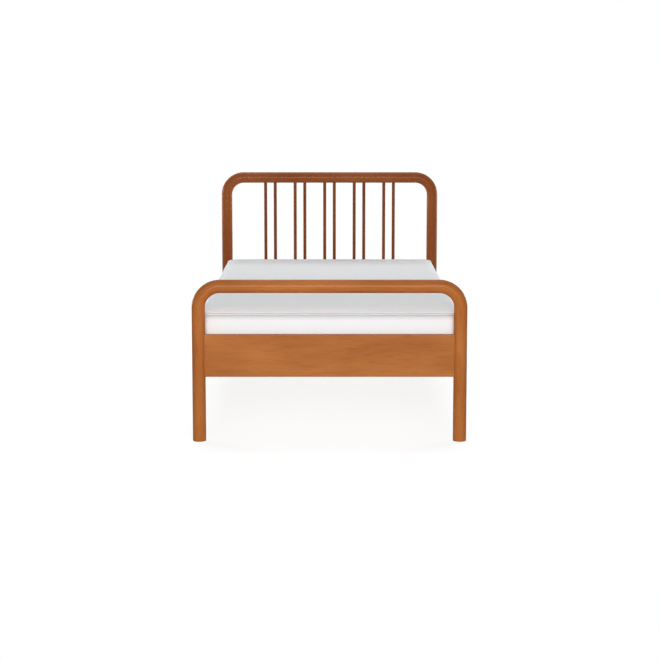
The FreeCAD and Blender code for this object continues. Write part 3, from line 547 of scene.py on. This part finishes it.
# The headboard panel takes the darker wood with painted shade.
board("headboard_panel", AXIS_X, AXIS_Y, (0.01, -0.03, 27.0), HEAD_WOOD_PAINTED_SHADE, "frame")
board("left_side_rail", AXIS_Y, AXIS_X, (0.02, 0.01, 33.0), STAINED, "frame")
board("right_side_rail", AXIS_Y, AXIS_X, (-0.01, -0.02, 39.0), STAINED, "frame")
board("left_slat_cleat", AXIS_Y, AXIS_X, (0.03, 0.1, 45.0), PALE, "frame", CLEAT_EASING)
board("right_slat_cleat", AXIS_Y, AXIS_X, (0.05, -0.1, 51.0), PALE, "frame", CLEAT_EASING)
for number in range(1, SLATS + 1):
    cut = stepped_place(number, **SLAT_LOG)
    board(f"slat_{number:02d}", AXIS_X, AXIS_Z, cut, PALE, "slat_deck")
for number in range(1, SPINDLES + 1):
    spindle(f"headboard_spindle_{number:02d}", stepped_place(number, **SPINDLE_LOG))

# Floor glides

GLIDE_RADIUS = 0.015
# Pairs of height and share of the radius: the rounded disc, then the thin pin that goes into the leg.
GLIDE_ROWS = [(0, 0.93), (0.0003, 0.965), (0.001, 1), (0.005, 1), (0.005, 0.133), (0.019, 0.133)]


def floor_glides():
    """Four turned glides, each a disc with a pin, at the corners of the CAD node's box."""
    low, high = box_of("floor_glides")
    disc = round_profile(GLIDE_RADIUS, ROUND_SIDES)
    glides = []
    for x in (low[0] + GLIDE_RADIUS, high[0] - GLIDE_RADIUS):
        for y in (low[1] + GLIDE_RADIUS, high[1] - GLIDE_RADIUS):
            glides.append(straight(disc, (x, y, low[2]), AXIS_Z, AXIS_X, GLIDE_ROWS))
    make_piece("floor_glides_turned", joined(glides), NYLON, "frame", "floor_glides")


floor_glides()

# Slat tapes

TAPE_EDGE = 0.45
TAPE_CREASE_ANGLE = 60.0


def tape(node):
    """A flat woven tape along the underside of the slats, its edges rounded by a share of its thickness."""
    low, high = box_of(node)
    size = high - low
    profile = board_profile(size[2], size[0], size[2] * TAPE_EDGE)
    start = ((low[0] + high[0]) / 2, low[1], (low[2] + high[2]) / 2)
    points, faces, grain = straight(profile, start, AXIS_Y, AXIS_Z, [(0, 1), (size[1], 1)])
    form = (points, faces)
    piece = make_piece(node + "_woven", form, WEBBING, "slat_deck", node, TAPE_CREASE_ANGLE)
    corners = np.concatenate([np.array(face) for face in faces])
    add_cloth_map(piece, grain[corners][:, 1:])


tape("left_slat_tape")
tape("right_slat_tape")

# Mattress

cover_low, cover_high = box_of("mattress_cover")
HALF_SIZE = (cover_high - cover_low)[:2] / 2
UNDERSIDE = cover_low[2]
THICKNESS = cover_high[2] - cover_low[2]
SEAM_LOW = float(np.mean([corner[2] for corner in box_of("mattress_bottom_piping")])) - UNDERSIDE
SEAM_HIGH = float(np.mean([corner[2] for corner in box_of("mattress_top_piping")])) - UNDERSIDE

# Its edge: how far the seams are drawn in, the roll under, the crown above and the piping's groove.
CORNER = 0.030
SEAM_DRAW = 0.002
ROLL = 0.024
ROLL_POWER = 2
CROWN = 0.060
CROWN_POWER = 1.15
PIPING_RADIUS = 0.004
PIPING_INSET = 0.0045
PIPING_ROOM = 0.00045
MOUTH_INSET = 0.003
MOUTH_HALF_HEIGHT = 0.00478
LIP = 0.0052

# Rows and columns of its mesh.
ROLL_ROWS = 8
GROOVE_ROWS = 9
BORDER_ROWS = 11
CROWN_ROWS = 16
PIPING_SIDES = 16
CORNER_HALF_STEPS = 6
SPACING = 0.020
SIDE_STEPS = np.round(2 * (HALF_SIZE - CORNER) / SPACING).astype(int)

# Painted shade: grey painted into the cloth in the grooves and on the border beside them, standing in for the
# shade there.
PAINTED_GROOVE_SHADE = 0.6
PAINTED_GROOVE_SHADE_FADE = 0.008
PAINTED_BORDER_SHADE = 0.58
PAINTED_BORDER_SHADE_REACH = 0.0182
PAINTED_BORDER_SHADE_FADE = 0.0055

# Filling: cloth this near a seam, all below the lower seam and the flat this far inside the crown is held.
SEWN_REACH = 0.006
SPRING_EDGE = 0.04
FILL_STEPS = 16
FILL_PRESSURE = 4.0
FILL_MOST = 0.002


def outline(inset):
    """The mattress outline from above, set in: four straight sides joined by quarter circles.

    It starts on the diagonal of the corner at -X, -Y and runs with +X first.
    """
    radius = max(CORNER - inset, CORNER / 2)
    reach = HALF_SIZE - inset - radius
    eighth = np.linspace(0, np.pi / 4, CORNER_HALF_STEPS + 1)
    first = eighth - np.pi / 4
    last = eighth[:-1]
    sides = []
    for quarter, (run, out) in enumerate(((0, 1), (1, 0), (0, 1), (1, 0))):
        flat = np.linspace(-1, 1, SIDE_STEPS[run] + 1)[1:-1] * reach[run]
        sideways = [radius * np.sin(first) - reach[run], flat, radius * np.sin(last) + reach[run]]
        outward = [radius * np.cos(first), np.full(len(flat), radius), radius * np.cos(last)]
        turn = quarter * QUARTER_TURN
        along = np.array([np.cos(turn), np.sin(turn)])
        away = np.array([np.sin(turn), -np.cos(turn)])
        outward = np.concatenate(outward) + reach[out]
        sides.append(np.concatenate(sideways)[:, None] * along + outward[:, None] * away)
    return np.concatenate(sides)


def edge_inset(turn, width, power):
    """Inset over a rounded edge: the seam's draw, then (1 - cos)^power of the width that is left."""
    return SEAM_DRAW + (width - SEAM_DRAW) * (1 - np.cos(turn)) ** power


def cover_profile():
    """Rows of inset and height up the cover, from the flat underside to the flat top.

    The roll under and the crown above go in as edge_inset says while their height goes with the sine.
    Each groove is a half circle round the piping between two lips, and the border swells as a parabola.
    """
    fall = np.linspace(QUARTER_TURN, 0, ROLL_ROWS)
    low_lip = SEAM_LOW - LIP
    under = np.stack([edge_inset(fall, ROLL, ROLL_POWER), low_lip * (1 - np.sin(fall))], -1)
    round_in = np.linspace(-QUARTER_TURN, QUARTER_TURN, GROOVE_ROWS)
    hollow = PIPING_RADIUS + PIPING_ROOM
    groove = np.stack([PIPING_INSET + hollow * np.cos(round_in), hollow * np.sin(round_in)], -1)
    mouth = np.array([[MOUTH_INSET, MOUTH_HALF_HEIGHT]])
    groove = np.concatenate([mouth * [1, -1], groove, mouth])
    height = np.linspace(SEAM_LOW + LIP, SEAM_HIGH - LIP, BORDER_ROWS)
    bulge = (height - (SEAM_LOW + SEAM_HIGH) / 2) / (height[-1] - height[0]) * 2
    border = np.stack([SEAM_DRAW * bulge**2, height], -1)
    rise = np.linspace(0, QUARTER_TURN, CROWN_ROWS)
    high_lip = SEAM_HIGH + LIP
    crown_height = high_lip + (THICKNESS - high_lip) * np.sin(rise)
    crown = np.stack([edge_inset(rise, CROWN, CROWN_POWER), crown_height], -1)
    return np.concatenate([under, groove + [0, SEAM_LOW], border, groove + [0, SEAM_HIGH], crown])


def flat_patch(ring, ring_start, inner_start):
    """A patch of quads inside a ring of points: its sides blended across, each less the corners' share.

    Returns the inner points and the index of every point, the ring's own round the edge.
    """
    across, along = SIDE_STEPS + 2 * CORNER_HALF_STEPS
    index = np.zeros((along + 1, across + 1), int)
    index[0] = np.arange(across + 1)
    index[:, across] = across + np.arange(along + 1)
    index[along, ::-1] = across + along + np.arange(across + 1)
    index[::-1, 0] = (2 * across + along + np.arange(along + 1)) % len(ring)
    u = np.linspace(0, 1, across + 1)[None, :, None]
    v = np.linspace(0, 1, along + 1)[:, None, None]
    ends = ring[index[0]][None] * (1 - v) + ring[index[along]][None] * v
    flanks = ring[index[:, 0]][:, None] * (1 - u) + ring[index[:, across]][:, None] * u
    corner = ring[index[[0, 0, along, along], [0, across, 0, across]]]
    near_end = corner[0] * (1 - u) + corner[1] * u
    far_end = corner[2] * (1 - u) + corner[3] * u
    shared = near_end * (1 - v) + far_end * v
    inner = (ends + flanks - shared)[1:-1, 1:-1].reshape(-1, ring.shape[1])
    index = index + ring_start
    index[1:-1, 1:-1] = inner_start + np.arange(len(inner)).reshape(along - 1, across - 1)
    return inner, index


def patch_quads(index, order):
    """Quads over a patch, in order 1 facing up and in order -1 facing down."""
    corners = np.stack([index[:-1, :-1], index[:-1, 1:], index[1:, 1:], index[1:, :-1]], -1)
    return corners.reshape(-1, 4)[:, ::order]


def path_length(points):
    """Length along a path at each of its points."""
    return np.concatenate([[0.0], np.cumsum(np.linalg.norm(np.diff(points, axis=0), axis=1))])


def girth_of(ring):
    """Length round a closed ring at each of its points, and at the first again."""
    return path_length(np.concatenate([ring, ring[:1]]))


def settle(piece, held):
    """Fill a cover with air while its seams are held, and keep each point within a distance of its place."""
    count = len(piece.data.vertices)
    rest = np.empty(count * 3, np.float32)
    piece.data.vertices.foreach_get("co", rest)
    piece.vertex_groups.new(name="held").add(held.tolist(), 1.0, "REPLACE")
    cloth = piece.modifiers.new("cloth", "CLOTH")
    cloth.settings.vertex_group_mass = "held"
    cloth.settings.quality = 4
    cloth.settings.use_pressure = True
    cloth.settings.uniform_pressure_force = FILL_PRESSURE
    cloth.settings.effector_weights.gravity = 0.0
    for step in range(1, FILL_STEPS + 1):
        scene.frame_set(step)
    filled = piece.evaluated_get(bpy.context.evaluated_depsgraph_get()).data
    moved = np.empty(count * 3, np.float32)
    filled.vertices.foreach_get("co", moved)
    piece.modifiers.remove(cloth)
    scene.frame_set(1)
    shift = (moved - rest).reshape(-1, 3)
    longest = np.linalg.norm(shift, axis=1).max()
    print("cover filled, longest move", float(longest))
    shift *= min(1.0, FILL_MOST / max(longest, 1e-9))
    piece.data.vertices.foreach_set("co", rest + shift.ravel())
    piece.data.update()


def mattress_cover():
    """The cover: outlines stacked along the profile, closed by flat patches, filled by simulation."""
    rows = cover_profile()
    rings = np.stack([outline(inset) for inset in rows[:, 0]])
    count, columns = rings.shape[:2]
    height = np.broadcast_to((UNDERSIDE + rows[:, 1])[:, None, None], (count, columns, 1))
    stack = np.concatenate([rings, height], -1)
    wall = count * columns
    quads, corner_rows, corner_columns = lattice(count, columns)
    under, under_index = flat_patch(stack[0], 0, wall)
    top, top_index = flat_patch(stack[-1], wall - columns, wall + len(under))
    faces = np.concatenate([quads, patch_quads(under_index, -1), patch_quads(top_index, 1)])
    points = np.concatenate([stack.reshape(-1, 3), under, top])
    form = (points, faces.tolist())
    piece = make_piece(
        "mattress_cover_sewn", form, TICKING, "mattress", "mattress_cover", crease=None
    )

    # The border is one strip of cloth round the mattress, and the rest is cut flat.
    girth = girth_of(outline(0.0))
    climb = path_length(rows)
    low_seam, high_seam = (int(np.argmin(np.abs(rows[:, 1] - seam))) for seam in (SEAM_LOW, SEAM_HIGH))
    flat_map = points[faces][..., :2]
    wrapped = np.stack([girth[corner_columns], climb[corner_rows]], -1)
    on_border = (corner_rows.min(1) >= low_seam) & (corner_rows.max(1) <= high_seam)
    flat_map[: len(quads)][on_border] = wrapped[on_border]
    add_cloth_map(piece, flat_map)

    # Painted shade: the share of grey painted in the grooves and on the border beside them goes into the seam
    # attribute, which also weights the puckers.
    from_seam = np.abs(climb[:, None] - climb[[low_seam, high_seam]]).min(1)
    painted_groove_shade = np.minimum(np.exp(-from_seam / PAINTED_GROOVE_SHADE_FADE), PAINTED_GROOVE_SHADE)
    painted_border_shade = PAINTED_BORDER_SHADE * np.clip((PAINTED_BORDER_SHADE_REACH - from_seam) / PAINTED_BORDER_SHADE_FADE, 0, 1)
    between = (climb > climb[low_seam]) & (climb < climb[high_seam])
    shade = np.where(between, np.maximum(painted_groove_shade, painted_border_shade), painted_groove_shade)
    near = np.zeros(len(points))
    near[:wall] = np.repeat(shade, columns)
    add_values(piece, "seam", "FLOAT", near)

    sewn_rows = np.flatnonzero((from_seam < SEWN_REACH) | (rows[:, 1] < SEAM_LOW))
    sewn = (sewn_rows[:, None] * columns + np.arange(columns)).ravel()
    on_springs = np.flatnonzero((HALF_SIZE - np.abs(points[:, :2])).min(1) > CROWN + SPRING_EDGE)
    settle(piece, np.union1d(sewn, on_springs))


def piping(node, seam):
    """Corded piping: a circle carried round the outline at a seam."""
    path = outline(PIPING_INSET)
    ahead = np.roll(path, -1, 0) - np.roll(path, 1, 0)
    ahead = ahead / np.linalg.norm(ahead, axis=1, keepdims=True)
    outward = np.stack([ahead[:, 1], -ahead[:, 0], np.zeros(len(path))], -1)
    centre = np.concatenate([path, np.full((len(path), 1), UNDERSIDE + seam)], -1)
    profile = round_profile(PIPING_RADIUS, PIPING_SIDES)
    points = centre[:, None] + profile[None, :, :1] * outward[:, None] - profile[None, :, 1:] * AXIS_Z
    quads, corner_rows, corner_columns = lattice(len(path), len(profile), closed=True)
    form = (points.reshape(-1, 3), quads.tolist())
    piece = make_piece(node + "_cord", form, CORDING, "mattress", node, crease=None)
    round_it = corner_columns * (2 * np.pi * PIPING_RADIUS / PIPING_SIDES)
    add_cloth_map(piece, np.stack([girth_of(path)[corner_rows], round_it], -1))


mattress_cover()
piping("mattress_top_piping", SEAM_HIGH)
piping("mattress_bottom_piping", SEAM_LOW)

# CAD pieces that stay as they are, with their finishes

KEPT = {
    "footboard_hoop_dowels": BEECH,
    "footboard_panel_dowels": BEECH,
    "headboard_hoop_dowels": BEECH,
    "headboard_panel_dowels": BEECH,
    "cleat_screws": SCREW,
    "bracket_screws": SCREW,
    "post_slot_plates": STEEL,
    "rail_hook_plates": STEEL,
    "mattress_top_pad": FELT,
    "mattress_bottom_pad": FELT,
    "mattress_spring_pockets": POCKET,
}
for kept_node, finish in KEPT.items():
    for material_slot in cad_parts[kept_node].material_slots:
        material_slot.material = finish

# Floor, light and camera

WHITE = (1.0, 1.0, 1.0, 1.0)
FLOOR_HALF_SIZE = 40.0
FLOOR_BOUNCE = (0.45, 0.45, 0.45, 1.0)
FLOOR_SHADED = (0.35, 0.35, 0.35, 1.0)
FLOOR_GLOW = 0.80
SHADOW_REACH = 1.5
ALL_WHITE_REACH = 3.5
WORLD_LEVEL = 0.06

# Name, place, target, width and height, and watts.
LAMPS = (
    ("front strip", (0.0, -5.2, 1.35), (0.0, -0.9, 0.5), (2.0, 0.5), 65.5),
    ("front fill", (0.0, -5.4, 1.5), (0.0, -0.9, 0.4), (4.0, 2.6), 121.5),
    ("top softbox", (0.0, 2.5, 5.9), (0.0, -0.5, 0.45), (5.0, 4.0), 216.0),
    ("rear softbox", (0.0, 5.5, 2.0), (0.0, 1.0, 0.5), (3.0, 2.0), 6.0),
    ("left softbox", (-4.6, 2.9, 1.0), (0.0, 0.0, 0.35), (2.4, 1.4), 158.0),
    ("right softbox", (4.6, 2.9, 1.0), (0.0, 0.0, 0.35), (2.4, 1.4), 158.0),
)

CAMERA_PLACE = (0.0, -7.7765, 1.423)
CAMERA_TILT = math.radians(81.68)
CAMERA_LENS = 98.02
CAMERA_SENSOR = 36.0
CAMERA_SHIFT = 0.00076


def seen_directly(tree):
    """1 for what the camera sees, straight or in a reflection or through glass, and 0 for other light."""
    path = put(tree, "LightPath", {}).outputs
    direct = maths(tree, "MAXIMUM", path["Is Camera Ray"], path["Is Glossy Ray"])
    return maths(tree, "MAXIMUM", direct, path["Is Transmission Ray"])


def mixed_shader(tree, share, first, second):
    """Two shaders mixed by a share."""
    return put(tree, "MixShader", {0: share, 1: first.outputs[0], 2: second.outputs[0]})


def floor_material():
    """Pale floor: a soft shadow near the bed, white further off, and clear from below."""
    material = bpy.data.materials.new("studio floor")
    material.use_nodes = True
    tree = material.node_tree
    tree.nodes.clear()
    bounce = put(tree, "BsdfDiffuse", {"Color": FLOOR_BOUNCE})
    shaded = put(tree, "BsdfDiffuse", {"Color": FLOOR_SHADED})
    glow = put(tree, "Emission", {"Color": WHITE, "Strength": FLOOR_GLOW})
    near = put(tree, "AddShader", {0: shaded.outputs[0], 1: glow.outputs[0]})
    white = put(tree, "Emission", {"Color": WHITE, "Strength": 1.0})
    reach = put(tree, "VectorMath", {0: place_on(tree, "object")}, operation="LENGTH").outputs["Value"]
    shown = mixed_shader(tree, spread(tree, reach, SHADOW_REACH, ALL_WHITE_REACH), near, white)
    above = mixed_shader(tree, seen_directly(tree), bounce, shown)
    from_below = put(tree, "NewGeometry", {}).outputs["Backfacing"]
    either = mixed_shader(tree, from_below, above, put(tree, "BsdfTransparent", {}))
    put(tree, "OutputMaterial", {"Surface": either.outputs[0]})
    return material


def studio_floor():
    """A wide square floor."""
    mesh = bpy.data.meshes.new("studio_floor")
    corners = [(x * FLOOR_HALF_SIZE, y * FLOOR_HALF_SIZE, 0) for x, y in ((-1, -1), (1, -1), (1, 1), (-1, 1))]
    mesh.from_pydata(corners, [], [(0, 1, 2, 3)])
    mesh.materials.append(floor_material())
    floor = bpy.data.objects.new("studio_floor", mesh)
    scene.collection.objects.link(floor)


def studio_world():
    """Even white light all round, and a white background."""
    world = bpy.data.worlds.new("studio")
    scene.world = world
    world.use_nodes = True
    tree = world.node_tree
    tree.nodes.clear()
    light = put(tree, "Background", {"Color": WHITE, "Strength": WORLD_LEVEL})
    white = put(tree, "Background", {"Color": WHITE, "Strength": 1.0})
    either = mixed_shader(tree, seen_directly(tree), light, white)
    put(tree, "OutputWorld", {"Surface": either.outputs[0]})


def softbox(name, place, target, size, watts):
    """A soft lamp that isn't seen itself."""
    light = bpy.data.lights.new(name, "AREA")
    light.shape = "RECTANGLE"
    light.size, light.size_y = size
    light.energy = watts
    lamp = bpy.data.objects.new(name, light)
    lamp.location = place
    lamp.rotation_euler = (Vector(target) - Vector(place)).to_track_quat("-Z", "Y").to_euler()
    lamp.visible_camera = False
    scene.collection.objects.link(lamp)


def photo_camera():
    """A camera in front of the foot, a little above the bed and tilted down."""
    settings = bpy.data.cameras.new("photo camera")
    settings.lens = CAMERA_LENS
    settings.sensor_width = CAMERA_SENSOR
    settings.shift_x = CAMERA_SHIFT
    camera = bpy.data.objects.new("photo camera", settings)
    camera.location = CAMERA_PLACE
    camera.rotation_euler = (CAMERA_TILT, 0.0, 0.0)
    scene.collection.objects.link(camera)
    scene.camera = camera


studio_floor()
studio_world()
for lamp in LAMPS:
    softbox(*lamp)
photo_camera()
scene.view_settings.view_transform = "Standard"
